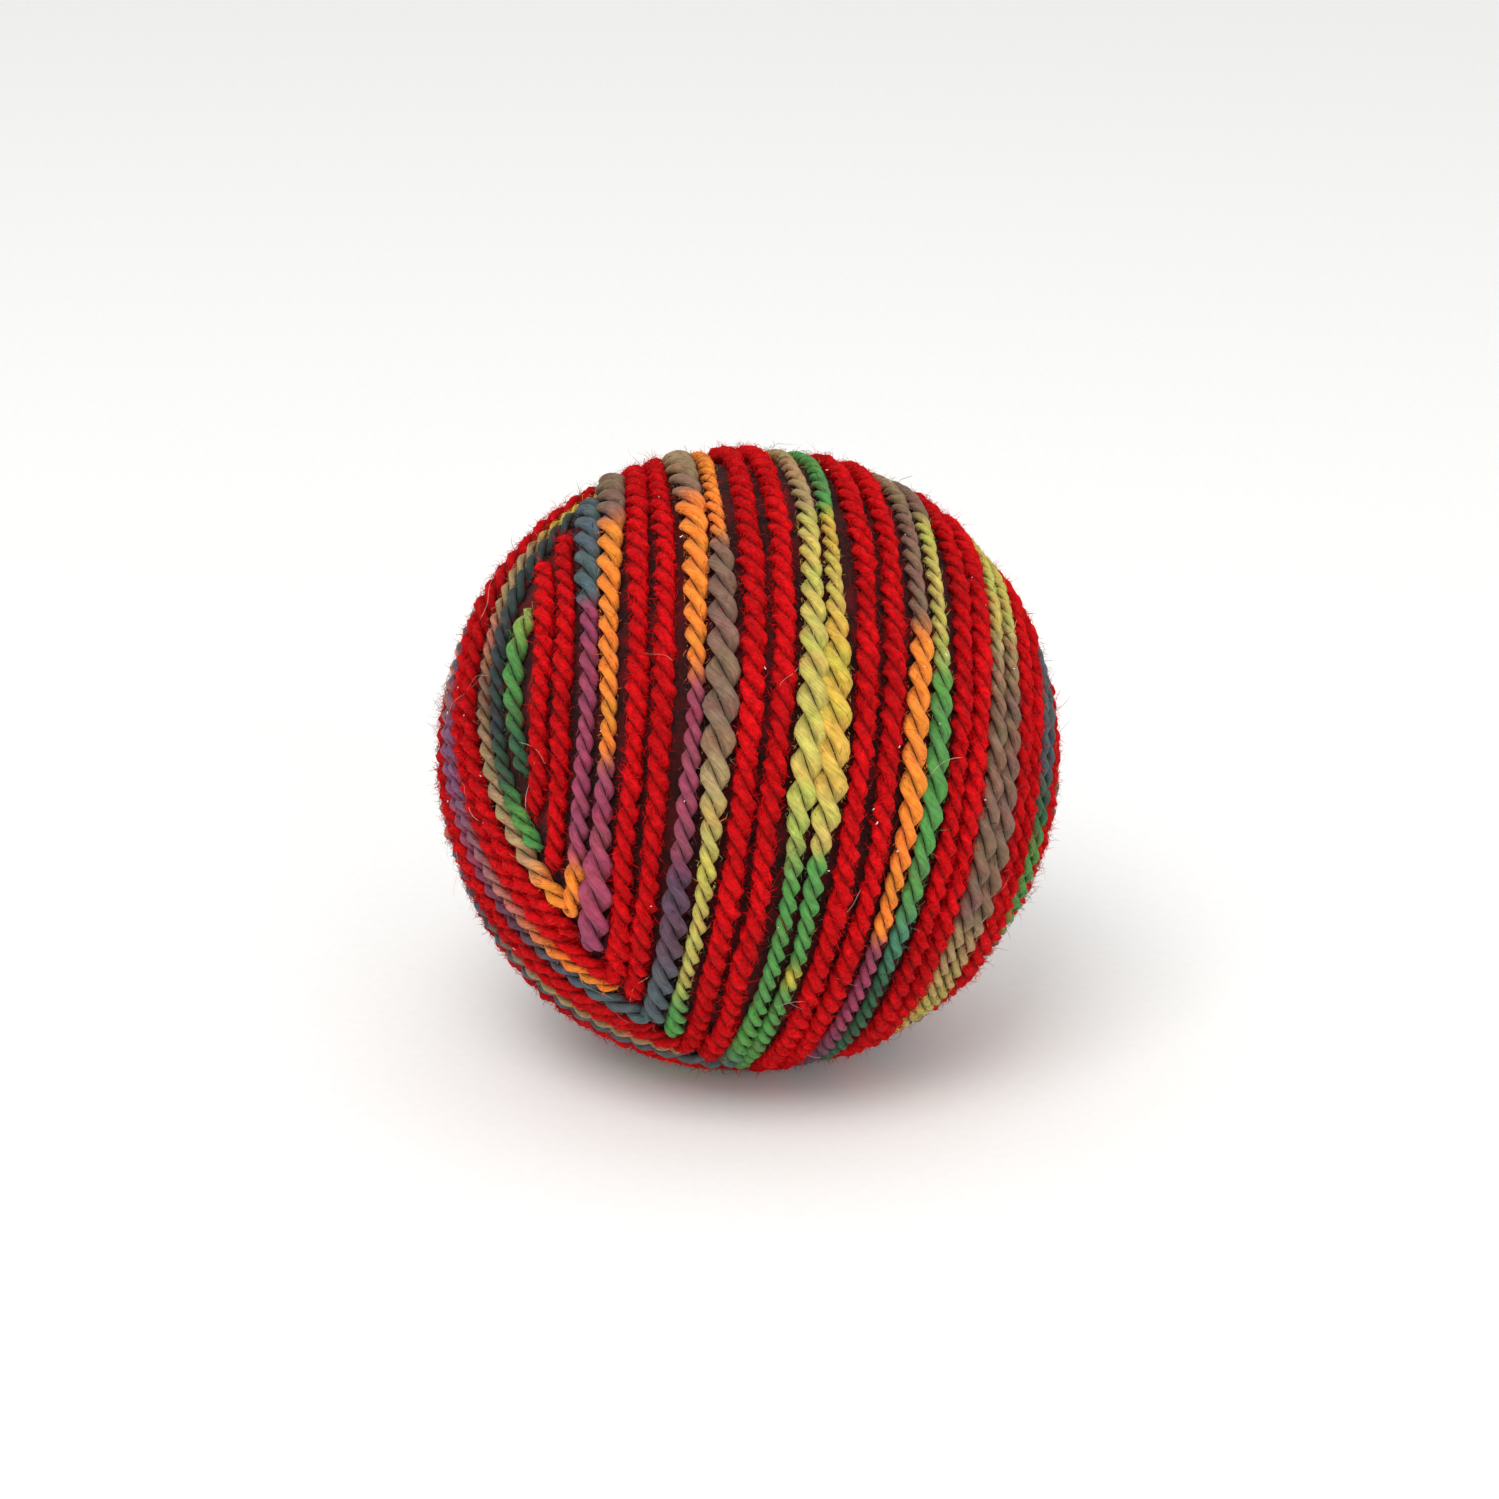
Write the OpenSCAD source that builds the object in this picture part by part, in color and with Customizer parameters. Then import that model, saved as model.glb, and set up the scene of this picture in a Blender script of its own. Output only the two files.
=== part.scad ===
// Soft juggling ball. A pouch of grain sits in a layer of padding, inside a felt
// cover made of two cups. Yarn is laid over the felt in one spiral of eye-shaped
// rounds: each round has a right and a left strand, which turn back at a head
// corner and a foot corner. Past the last eye, rings close the two sides.
// Millimetres. Z is up, and the origin is the centre of the flat rest patch.

/* [Ball] */
// Outside diameter, over the yarn
ball_d = 65; // [54:0.5:80]
// Diameter of the flat patch that the ball rests on
rest_d = 16; // [12:0.5:20]
// Backward lean of the yarn pattern, in degrees
pattern_lean = 20; // [0:5:40]

/* [Yarn] */
// Diameter of the yarn
yarn_d = 1.7; // [1.3:0.05:2.05]
// Extra width of the fold where the yarn turns back at a corner
fold_extra = 0.4; // [0.3:0.05:0.6]
// Gap between the cut end of a yarn and the yarn that it meets
end_gap = 0.2; // [0.1:0.05:0.5]

/* [Felt cover] */
// Thickness of the felt
felt_t = 1.2; // [0.9:0.1:2]
// Diameter of the thread that closes the seam between the two cups
seam_thread_d = 0.6; // [0.3:0.05:0.75]

/* [Padding] */
// Thickness of the wadding between the felt and the pouch
pad_t = 4; // [3:0.25:6]

/* [Inner pouch] */
// Thickness of the pouch cloth
pouch_t = 0.5; // [0.3:0.05:1]
// Diameter of the gathered neck
neck_d = 6; // [5:0.5:9]
// Diameter of the cord tied round the neck
tie_d = 1; // [0.6:0.1:1.3]

/* [Filling] */
// Diameter of one grain
grain_d = 8; // [6.5:0.5:10]
// Gap between neighbouring grains
grain_gap = 0.2; // [0.1:0.05:0.6]

/* [Fits] */
// Gap between layers that lie against each other
lay_gap = 0.05; // [0.02:0.01:0.12]

/* [Hidden] */
$fn = 64;
// Sides of a yarn's tube: round, or pressed into flats where it reaches the rest patch
$yarn_fn = 64;
PRESSED_SIDES = 12;
ball_r = ball_d / 2;
centre_z = sqrt(pow(ball_r, 2) - pow(rest_d / 2, 2));
yarn_r = yarn_d / 2;
lay_r = ball_r - yarn_r;
felt_r = ball_r - yarn_d - lay_gap;
pad_r = felt_r - felt_t - lay_gap;
pouch_r = pad_r - pad_t - lay_gap;
hollow_r = pouch_r - pouch_t;
neck_top = sqrt(pow(pad_r - lay_gap, 2) - pow(neck_d / 2, 2));
neck_well_d = neck_d + tie_d + 2 * lay_gap;
tie_z = (pouch_r + neck_top) / 2;
grain_pitch = grain_d + grain_gap;
grain_reach = hollow_r - lay_gap - grain_d / 2;
step_d = yarn_d * 0.8;
// Angle between the strands where the rounds lie closest
closest_step = 3.9;
// A fold stays within the room that the closest rounds leave
fold_room = lay_r * closest_step * PI / 180 - yarn_d;
fold_d = yarn_d + min(fold_extra, fold_room);
fold_base = felt_r + lay_gap / 2;
fold_top = ball_r + lay_gap / 2;

// Angle between neighbouring strands, seen from the middle of the ball
strand_step = 5.115;
// Longitude of right strand 0 where it crosses the middle; 0 is the front, 90 the right
first_lon = -43.6;
// Last strand whose axis still turns, on the right and on the left
right_turn_end = 18.5;
left_turn_end = 9.5;
// Axis of a right strand's circle, as [strand, degrees] pairs
RIGHT_LON = [[3, 93.3], [7, 98.4], [11, 102.3], [15, 105.3], [19, 107.4]];
RIGHT_LAT = [[3, -2.5], [7, -3.8], [11, -5.6], [15, -7.3], [19, -7.8]];
// Axis and opening of a left strand's circle, as [strand, degrees] pairs
LEFT_LON = [[-0.5, 188.2], [1.5, 189.9], [5.5, 193.3], [9.5, 197.4]];
LEFT_LAT = [[-0.5, -16.5], [1.5, -20.4], [5.5, -28.3], [9.5, -33.5]];
LEFT_OPEN = [[-0.5, 124], [1.5, 112.1], [5.5, 88.3], [9.5, 66.7]];
// First band that runs under the ball, through the rest patch
first_low_band = 5;
HEAD = 1;
FOOT = -1;

RED = [0.78, 0.05, 0.08];
GREEN = [0.24, 0.55, 0.2];
PURPLE = [0.5, 0.2, 0.4];
ORANGE = [0.93, 0.5, 0.1];
YELLOW = [0.85, 0.75, 0.3];
BROWN = [0.5, 0.38, 0.32];
SLATE = [0.25, 0.33, 0.36];
TAN = [0.72, 0.56, 0.34];

// Unit direction from a longitude and a latitude
function aim(lon, lat) = [sin(lon) * cos(lat), -cos(lon) * cos(lat), sin(lat)];

// A strand's circle on the ball is [axis, opening]
function right_axis(s) = aim(lookup(s, RIGHT_LON), lookup(s, RIGHT_LAT));
function right_turned(s) = acos(right_axis(s) * aim(first_lon + strand_step * s, 0));
function right(s) = s <= right_turn_end
    ? [right_axis(s), right_turned(s)]
    : [right_axis(s), right_turned(right_turn_end) - strand_step * (s - right_turn_end)];
function left_axis(s) = aim(lookup(s, LEFT_LON), lookup(s, LEFT_LAT));
function left_past(s) = strand_step * max(0, s - left_turn_end);
function left(s) = [left_axis(s), lookup(s, LEFT_OPEN) - left_past(s)];

// The same circle moved out by the room that a yarn's end needs beside it
function beside(c) = [c[0], c[1] + (yarn_d + end_gap) / lay_r * 180 / PI];

// Where two circles cross, at the head or the foot
function meet(a, b, end) =
    let (
        c = a[0] * b[0],
        da = cos(a[1]),
        db = cos(b[1]),
        mid = a[0] * (da - db * c) / (1 - c * c) + b[0] * (db - da * c) / (1 - c * c),
        line = cross(a[0], b[0]),
        up = line[2] > 0 ? end : -end
    )
    mid + line * up * sqrt(1 - mid * mid) / norm(line);
function head(s) = meet(right(s), left(s - 2), HEAD);
function foot(s) = meet(right(s), left(s - 1), FOOT);

// Tilt and turn that bring Z onto an axis, and a point's angle round that axis
function tilt(n) = acos(n[2]);
function turn(n) = atan2(n[1], n[0]);
function angle_on(n, p) = atan2(
    p * [-sin(turn(n)), cos(turn(n)), 0],
    p * [cos(tilt(n)) * cos(turn(n)), cos(tilt(n)) * sin(turn(n)), -sin(tilt(n))]
);
function sweep(n, p, q) = (angle_on(n, q) - angle_on(n, p) + 720) % 360;

// Stands the yarn pattern in the ball
module placed() {
    translate([0, 0, centre_z]) rotate([-pattern_lean, 0, 0]) children();
}

// The same, flattened where it reaches the rest patch
module placed_at_rest() {
    $yarn_fn = PRESSED_SIDES;
    intersection() {
        placed() children();
        translate([-ball_d, -ball_d, 0]) cube(2 * ball_d);
    }
}

// Yarn along a circle, from one point on it to another
module strand(c, from, to) {
    n = c[0];
    rotate([0, tilt(n), turn(n)])
        translate([0, 0, lay_r * cos(c[1])])
            rotate([0, 0, angle_on(n, from)])
                rotate_extrude(angle = sweep(n, from, to))
                    translate([lay_r * sin(c[1]), 0]) circle(yarn_r, $fn = $yarn_fn);
}

module ring(c) {
    n = c[0];
    rotate([0, tilt(n), turn(n)])
        translate([0, 0, lay_r * cos(c[1])])
            rotate_extrude() translate([lay_r * sin(c[1]), 0]) circle(yarn_r, $fn = $yarn_fn);
}

// Pressed-down fold where the yarn turns back
module corner(p) {
    rotate([0, tilt(p), turn(p)]) translate([0, 0, fold_base])
        cylinder(h = fold_top - fold_base, d = fold_d);
}

function step_length(a, b) = lay_r * 2 * sin(abs(a[1] - b[1]) / 2);

// Short piece of yarn that steps from one ring to the next, on the hidden side
module step_over(a, b) {
    n = a[0];
    mean = (a[1] + b[1]) / 2;
    rotate([0, tilt(n), turn(n)])
        rotate([0, mean, 0])
            translate([0, 0, lay_r]) rotate([0, 90, 0])
                cylinder(h = step_length(a, b), d = step_d, center = true);
}

// Two rounds of one length of yarn
module band_yarn(b) {
    s = 2 * b + 0.5;
    last = b == 7;
    strand(left(s), meet(beside(right(s + 1)), left(s), FOOT), head(s + 2));
    corner(head(s + 2));
    strand(right(s + 2), head(s + 2), foot(s + 2));
    corner(foot(s + 2));
    strand(left(s + 1), foot(s + 2), head(s + 3));
    corner(head(s + 3));
    strand(right(s + 3), head(s + 3), last ? meet(right(s + 3), beside(left(s + 2)), FOOT) : foot(s + 3));
    if (!last) corner(foot(s + 3));
}

module band(b, tint) {
    color(tint)
        if (b < first_low_band) placed() band_yarn(b);
        else placed_at_rest() band_yarn(b);
}

module ring_pair_yarn(a, b) {
    ring(a);
    ring(b);
    step_over(a, b);
}

module ring_pair(a, b, tint) {
    color(tint) placed() ring_pair_yarn(a, b);
}

module low_ring_pair(a, b, tint) {
    color(tint) placed_at_rest() ring_pair_yarn(a, b);
}

module grain_filling() {
    n = ceil(grain_reach / grain_pitch * sqrt(2)) + 1;
    color(TAN) translate([0, 0, centre_z])
        for (i = [-n:n], j = [-n:n], k = [-n:n])
            if ((i + j + k + 8 * n) % 2 == 0)
                let (p = [i, j, k] * grain_pitch / sqrt(2))
                    if (norm(p) <= grain_reach) translate(p) sphere(d = grain_d);
}

module inner_pouch() {
    color("ivory") translate([0, 0, centre_z]) difference() {
        union() {
            sphere(pouch_r);
            cylinder(h = neck_top, d = neck_d);
        }
        sphere(hollow_r);
        translate([0, 0, tie_z]) rotate_extrude() translate([neck_d / 2, 0]) circle(d = tie_d + 2 * lay_gap);
    }
}

module pouch_tie() {
    color("white") translate([0, 0, centre_z + tie_z])
        rotate_extrude() translate([neck_d / 2, 0]) circle(d = tie_d);
}

module padding_wrap() {
    color("whitesmoke") translate([0, 0, centre_z]) difference() {
        sphere(pad_r);
        sphere(pouch_r + lay_gap);
        cylinder(h = ball_r, d = neck_well_d);
    }
}

// Half of the felt shell, with half of the groove that the seam thread lies in
module felt_cup(side) {
    mid_r = felt_r - felt_t / 2;
    translate([0, 0, centre_z]) difference() {
        sphere(felt_r);
        sphere(felt_r - felt_t);
        translate([-ball_d, -ball_d, side > 0 ? lay_gap / 2 - 2 * ball_d : -lay_gap / 2]) cube(2 * ball_d);
        rotate_extrude() translate([mid_r, 0]) circle(d = seam_thread_d + 2 * lay_gap);
    }
}

module felt_cup_upper() {
    color("#3a2622") felt_cup(1);
}

module felt_cup_lower() {
    color("#2f1f1c") felt_cup(-1);
}

module felt_seam_thread() {
    color("black") translate([0, 0, centre_z])
        rotate_extrude() translate([felt_r - felt_t / 2, 0]) circle(d = seam_thread_d);
}

// Loose end of the first yarn, beside the innermost strand
module yarn_tail() {
    c = left(-0.5);
    color(GREEN) placed()
        strand(c, meet(beside(right(0.5)), c, FOOT), meet(beside(right(0.5)), c, HEAD));
}

module yarn_start_inner() {
    c = right(0.5);
    color(RED) placed()
        strand(c, meet(c, beside(left(0.5)), HEAD), meet(c, beside(left(0.5)), FOOT));
}

module yarn_start_outer() {
    c = right(1.5);
    color(RED) placed() {
        strand(c, meet(c, beside(left(0.5)), HEAD), foot(1.5));
        corner(foot(1.5));
    }
}

module yarn_multi_1() { band(0, ORANGE); }
module yarn_red_1() { band(1, RED); }
module yarn_multi_2() { band(2, BROWN); }
module yarn_red_2() { band(3, RED); }
module yarn_multi_3() { band(4, YELLOW); }
module yarn_red_3() { band(5, RED); }
module yarn_multi_4() { band(6, GREEN); }
module yarn_red_4() { band(7, RED); }

// The first pair on the right is an open strand and a ring
module yarn_multi_right_1() {
    c = right(18.5);
    d = beside(left(16.5));
    color(TAN) placed() {
        strand(c, meet(c, d, HEAD), meet(c, d, FOOT));
        ring(right(19.5));
        step_over(c, right(19.5));
    }
}

module yarn_red_right_1() { ring_pair(right(20.5), right(21.5), RED); }
module yarn_multi_right_2() { ring_pair(right(22.5), right(23.5), SLATE); }
module yarn_red_right_2() { ring_pair(right(24.5), right(25.5), RED); }
module yarn_multi_right_3() { ring_pair(right(26.5), right(27.5), PURPLE); }

module yarn_red_right_centre() {
    c = right(28.5);
    color(RED) placed() {
        ring(c);
        step_over(c, [c[0], 0]);
        corner(c[0]);
    }
}

module yarn_multi_left_1() { low_ring_pair(left(16.5), left(17.5), PURPLE); }
module yarn_red_left() { low_ring_pair(left(18.5), left(19.5), RED); }

module yarn_multi_left_centre() {
    c = left(21.5);
    color(GREEN) placed() {
        ring(left(20.5));
        ring(c);
        step_over(left(20.5), c);
        step_over(c, [c[0], 0]);
        corner(c[0]);
    }
}

grain_filling();
inner_pouch();
pouch_tie();
padding_wrap();
felt_cup_upper();
felt_cup_lower();
felt_seam_thread();
yarn_tail();
yarn_start_inner();
yarn_start_outer();
yarn_multi_1();
yarn_red_1();
yarn_multi_2();
yarn_red_2();
yarn_multi_3();
yarn_red_3();
yarn_multi_4();
yarn_red_4();
yarn_multi_right_1();
yarn_red_right_1();
yarn_multi_right_2();
yarn_red_right_2();
yarn_multi_right_3();
yarn_red_right_centre();
yarn_multi_left_1();
yarn_red_left();
yarn_multi_left_centre();
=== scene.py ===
import math
import bpy
import numpy as np
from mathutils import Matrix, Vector


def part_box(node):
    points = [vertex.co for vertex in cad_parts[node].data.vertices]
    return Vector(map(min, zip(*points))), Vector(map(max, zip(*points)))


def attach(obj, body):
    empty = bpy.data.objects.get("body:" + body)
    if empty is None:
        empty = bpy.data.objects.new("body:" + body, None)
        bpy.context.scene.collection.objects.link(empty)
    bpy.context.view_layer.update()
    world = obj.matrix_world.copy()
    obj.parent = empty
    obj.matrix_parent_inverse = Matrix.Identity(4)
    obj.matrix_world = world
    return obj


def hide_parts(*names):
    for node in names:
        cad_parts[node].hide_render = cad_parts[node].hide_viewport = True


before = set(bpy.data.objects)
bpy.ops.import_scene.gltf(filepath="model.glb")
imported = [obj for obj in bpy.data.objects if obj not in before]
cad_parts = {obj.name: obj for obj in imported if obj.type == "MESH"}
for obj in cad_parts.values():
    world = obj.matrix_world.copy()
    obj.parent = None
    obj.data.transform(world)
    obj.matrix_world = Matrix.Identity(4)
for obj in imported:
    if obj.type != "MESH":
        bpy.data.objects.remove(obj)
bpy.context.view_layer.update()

mm = 0.001
seeds = {"yarns": 700, "upperFelt": 41, "lowerFelt": 42, "hairs": 51, "specks": 52, "grain": 61}


# helpers for colours, nodes and meshes

def hexColour(text):
    # sRGB hex to the linear values that the nodes and attributes take
    parts = [int(text[i:i + 2], 16) / 255 for i in (1, 3, 5)]
    linear = [p / 12.92 if p <= 0.04045 else ((p + 0.055) / 1.055) ** 2.4 for p in parts]
    return (*linear, 1.0)


def addNode(tree, kind, settings=None, inputs=None):
    # settings are the node's own properties; an input is a value or another node's output
    node = tree.nodes.new("ShaderNode" + kind)
    for key, value in (settings or {}).items():
        setattr(node, key, value)
    for key, value in (inputs or {}).items():
        if isinstance(value, bpy.types.NodeSocket):
            tree.links.new(value, node.inputs[key])
        else:
            node.inputs[key].default_value = value
    return node


def newMaterial(name):
    material = bpy.data.materials.new(name)
    material.use_nodes = True
    tree = material.node_tree
    tree.nodes.clear()
    output = addNode(tree, "OutputMaterial")
    return material, tree, output


def meshObject(name, points, faces, material):
    # points is an (n, 3) array in metres; faces is an (m, 3) or (m, 4) array of point numbers
    mesh = bpy.data.meshes.new(name)
    count, sides = faces.shape
    mesh.vertices.add(len(points))
    mesh.vertices.foreach_set("co", np.ascontiguousarray(points, dtype=np.float32).ravel())
    mesh.loops.add(count * sides)
    mesh.loops.foreach_set("vertex_index", np.ascontiguousarray(faces, dtype=np.int32).ravel())
    mesh.polygons.add(count)
    mesh.polygons.foreach_set("loop_start", np.arange(0, count * sides, sides, dtype=np.int32))
    mesh.update(calc_edges=True)
    mesh.polygons.foreach_set("use_smooth", np.full(count, True))
    mesh.materials.append(material)
    piece = bpy.data.objects.new(name, mesh)
    bpy.context.scene.collection.objects.link(piece)
    return piece


def paintPoints(piece, name, values):
    # stores a colour or a number for each point of a piece
    if values.ndim == 2:
        layer = piece.data.attributes.new(name, "FLOAT_COLOR", "POINT")
        rgba = np.ones((len(values), 4), dtype=np.float32)
        rgba[:, :3] = values
        layer.data.foreach_set("color", rgba.ravel())
    else:
        layer = piece.data.attributes.new(name, "FLOAT", "POINT")
        layer.data.foreach_set("value", values.astype(np.float32))


def unit(v):
    return v / np.linalg.norm(v, axis=-1, keepdims=True)


# camera, at the front and a little above

view = {
    "elevation": 20,        # degrees above the table
    "lens": 100,            # a long lens, as for a small product
    "sensor": 36,
    "ballShare": 0.4176,    # width of the ball in the width of the frame
    "aimRise": 0.9 * mm,    # the ball sits a touch below the middle of the frame
    "aimSide": 0.15 * mm,
}

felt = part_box("felt_cup_lower")
ballMiddle = np.array([0, 0, felt[1].z])
ballTop = max(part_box(name)[1].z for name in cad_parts)
ballRadius = ballTop - ballMiddle[2]


def makeCamera():
    data = bpy.data.cameras.new("productCamera")
    data.lens = view["lens"]
    data.sensor_width = view["sensor"]
    camera = bpy.data.objects.new("productCamera", data)
    bpy.context.scene.collection.objects.link(camera)
    frameWidth = 2 * ballRadius / view["ballShare"]
    distance = frameWidth * view["lens"] / view["sensor"]
    tilt = math.radians(view["elevation"])
    up = Vector((0, math.sin(tilt), math.cos(tilt)))
    back = Vector((0, -math.cos(tilt), math.sin(tilt)))
    aim = Vector(ballMiddle) + up * view["aimRise"] + Vector((view["aimSide"], 0, 0))
    camera.location = aim + back * distance
    camera.rotation_euler = (math.radians(90) - tilt, 0, 0)
    bpy.context.scene.camera = camera


makeCamera()
print("camera in place")


# the yarn's course over the ball, the same rounds as the CAD yarns

course = {
    "lean": 20,             # backward lean of the pattern, degrees
    "step": 5.115,          # angle between neighbouring strands
    "firstLongitude": -43.6,
    "rightTurnEnd": 18.5,
    "leftTurnEnd": 9.5,
    "rightLongitude": ((3, 7, 11, 15, 19), (93.3, 98.4, 102.3, 105.3, 107.4)),
    "rightLatitude": ((3, 7, 11, 15, 19), (-2.5, -3.8, -5.6, -7.3, -7.8)),
    "leftLongitude": ((-0.5, 1.5, 5.5, 9.5), (188.2, 189.9, 193.3, 197.4)),
    "leftLatitude": ((-0.5, 1.5, 5.5, 9.5), (-16.5, -20.4, -28.3, -33.5)),
    "leftOpening": ((-0.5, 1.5, 5.5, 9.5), (124, 112.1, 88.3, 66.7)),
    "yarn": 1.7 * mm,
    "endGap": 0.2 * mm,     # between a yarn's end and the yarn that it stops at
    "feltRadius": felt[1].x,
    "cornerRun": 1.3 * mm,  # how far before a corner the yarn starts to bend
}
layRadius = ballRadius - course["yarn"] / 2


def aim(longitude, latitude):
    a, b = math.radians(longitude), math.radians(latitude)
    return np.array([math.sin(a) * math.cos(b), -math.cos(a) * math.cos(b), math.sin(b)])


def lookUp(s, name):
    return float(np.interp(s, *course[name]))


def rightStrand(s):
    axis = aim(lookUp(s, "rightLongitude"), lookUp(s, "rightLatitude"))
    turned = min(s, course["rightTurnEnd"])
    bent = aim(lookUp(turned, "rightLongitude"), lookUp(turned, "rightLatitude"))
    across = aim(course["firstLongitude"] + course["step"] * turned, 0)
    opening = math.degrees(math.acos(bent @ across)) - course["step"] * (s - turned)
    return axis, opening


def leftStrand(s):
    axis = aim(lookUp(s, "leftLongitude"), lookUp(s, "leftLatitude"))
    past = max(0, s - course["leftTurnEnd"])
    return axis, lookUp(s, "leftOpening") - course["step"] * past


def beside(circle):
    # the same circle moved out by the room that a yarn's end needs
    return circle[0], circle[1] + math.degrees((course["yarn"] + course["endGap"]) / layRadius)


def meet(a, b, end):
    c = a[0] @ b[0]
    da, db = math.cos(math.radians(a[1])), math.cos(math.radians(b[1]))
    middle = a[0] * (da - db * c) / (1 - c * c) + b[0] * (db - da * c) / (1 - c * c)
    line = np.cross(a[0], b[0])
    sign = end if line[2] > 0 else -end
    return middle + line * sign * math.sqrt(max(0, 1 - middle @ middle)) / np.linalg.norm(line)


headEnd, footEnd = 1, -1
bandCount = 8               # lengths of yarn between the eye and the rings at the sides


def head(s):
    return meet(rightStrand(s), leftStrand(s - 2), headEnd)


def foot(s):
    return meet(rightStrand(s), leftStrand(s - 1), footEnd)


def sideAxes(n):
    across = unit(np.array([-n[1], n[0], 0.0]))
    return np.cross(across, n), across


def angleOn(n, p):
    e1, e2 = sideAxes(n)
    return math.atan2(p @ e2, p @ e1)


def onCircle(circle, angles, openings=None):
    # points at these angles round the circle's axis
    n = circle[0]
    e1, e2 = sideAxes(n)
    opening = np.radians(circle[1] if openings is None else openings) * np.ones(len(angles))
    ring = np.cos(angles)[:, None] * e1 + np.sin(angles)[:, None] * e2
    return np.cos(opening)[:, None] * n + np.sin(opening)[:, None] * ring


pathStep = 0.1 * mm
coilStep = 0.04             # radians between a coil's points
coilEnd = 0.93              # how far in a coil winds, as a share of the way
stepAngle = 0.5             # radians that a yarn takes to step from one ring to the next


def arc(circle, start, end):
    a = angleOn(circle[0], start)
    sweep = (angleOn(circle[0], end) - a) % (2 * math.pi)
    length = layRadius * math.sin(math.radians(circle[1])) * sweep
    return onCircle(circle, a + np.linspace(0, sweep, max(8, int(length / pathStep))))


def ringRun(outer, inner, startAngle, sweep):
    # goes round the outer ring, steps over, and goes round the inner one
    turns = 2 * math.pi + sweep
    count = int(layRadius * math.sin(math.radians(outer[1])) * turns / pathStep)
    angles = startAngle + np.linspace(0, turns, max(60, count))
    share = np.clip((angles - startAngle - sweep) / stepAngle + 0.5, 0, 1)
    share = share * share * (3 - 2 * share)
    return onCircle(outer, angles, outer[1] + (inner[1] - outer[1]) * share)


def coil(circle, startAngle):
    # winds from a ring in to its middle
    opening = circle[1]
    turns = max(1, opening / course["step"]) * 2 * math.pi
    share = np.linspace(0, 1, max(120, int(turns / coilStep)))
    return onCircle(circle, startAngle + turns * share, opening * (1 - coilEnd * share))


def bandRun(b):
    s = 2 * b + 0.5
    last = b == bandCount - 1
    closing = meet(rightStrand(s + 3), beside(leftStrand(s + 2)), footEnd) if last else foot(s + 3)
    opening = meet(beside(rightStrand(s + 1)), leftStrand(s), footEnd)
    return [
        ("L", s, arc(leftStrand(s), opening, head(s + 2))),
        ("R", s + 2, arc(rightStrand(s + 2), head(s + 2), foot(s + 2))),
        ("L", s + 1, arc(leftStrand(s + 1), foot(s + 2), head(s + 3))),
        ("R", s + 3, arc(rightStrand(s + 3), head(s + 3), closing)),
    ]


hiddenAngle = {"R": math.radians(75), "L": math.radians(300)}   # where the rings start, out of sight


def ringPairRun(side, s):
    strand = rightStrand if side == "R" else leftStrand
    return [(side, s, ringRun(strand(s), strand(s + 1), hiddenAngle[side], 2 * math.pi))]


def yarnRuns():
    tail, inner, outer = leftStrand(-0.5), rightStrand(0.5), rightStrand(1.5)
    first = beside(leftStrand(0.5))
    nearInner = beside(inner)
    tailArc = arc(tail, meet(nearInner, tail, footEnd), meet(nearInner, tail, headEnd))
    innerArc = arc(inner, meet(inner, first, headEnd), meet(inner, first, footEnd))
    outerArc = arc(outer, meet(outer, first, headEnd), foot(1.5))
    runs = {
        "yarn_tail": [("L", -0.5, tailArc)],
        "yarn_start_inner": [("R", 0.5, innerArc)],
        "yarn_start_outer": [("R", 1.5, outerArc)],
    }
    for b in range(bandCount):
        runs[f"yarn_{'red' if b % 2 else 'multi'}_{b // 2 + 1}"] = bandRun(b)
    open18, ring19 = rightStrand(18.5), rightStrand(19.5)
    edge = beside(leftStrand(16.5))
    a0, a1 = (angleOn(open18[0], meet(open18, edge, e)) for e in (headEnd, footEnd))
    sweep = (a1 - a0) % (2 * math.pi)
    runs["yarn_multi_right_1"] = [("R", 18.5, ringRun(open18, ring19, a0, sweep))]
    runs["yarn_red_right_1"] = ringPairRun("R", 20.5)
    runs["yarn_multi_right_2"] = ringPairRun("R", 22.5)
    runs["yarn_red_right_2"] = ringPairRun("R", 24.5)
    runs["yarn_multi_right_3"] = ringPairRun("R", 26.5)
    runs["yarn_red_right_centre"] = [("R", 28.5, coil(rightStrand(28.5), hiddenAngle["R"]))]
    runs["yarn_multi_left_1"] = ringPairRun("L", 16.5)
    runs["yarn_red_left"] = ringPairRun("L", 18.5)
    runs["yarn_multi_left_centre"] = [("L", 20.5, coil(leftStrand(20.5), hiddenAngle["L"]))]
    return runs


# the dyes, strand by strand

# the last dye here is slate darkened with painted shade, not a dye of its own
dyes = {
    "red": "#da0a12", "slate": "#515d61", "plum": "#97425a", "orange": "#ea8530", "brown": "#7e6250",
    "tan": "#a88a62", "yellow": "#bfaf58", "gold": "#cba843", "lime": "#9cae56", "green": "#558f48",
    "darkGreen": "#3a6044", "teal": "#4c8068", "salmon": "#bd745e", "mauve": "#845a74", "dusk": "#5e4450",
    "smoke": "#3b4644",
}

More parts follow.
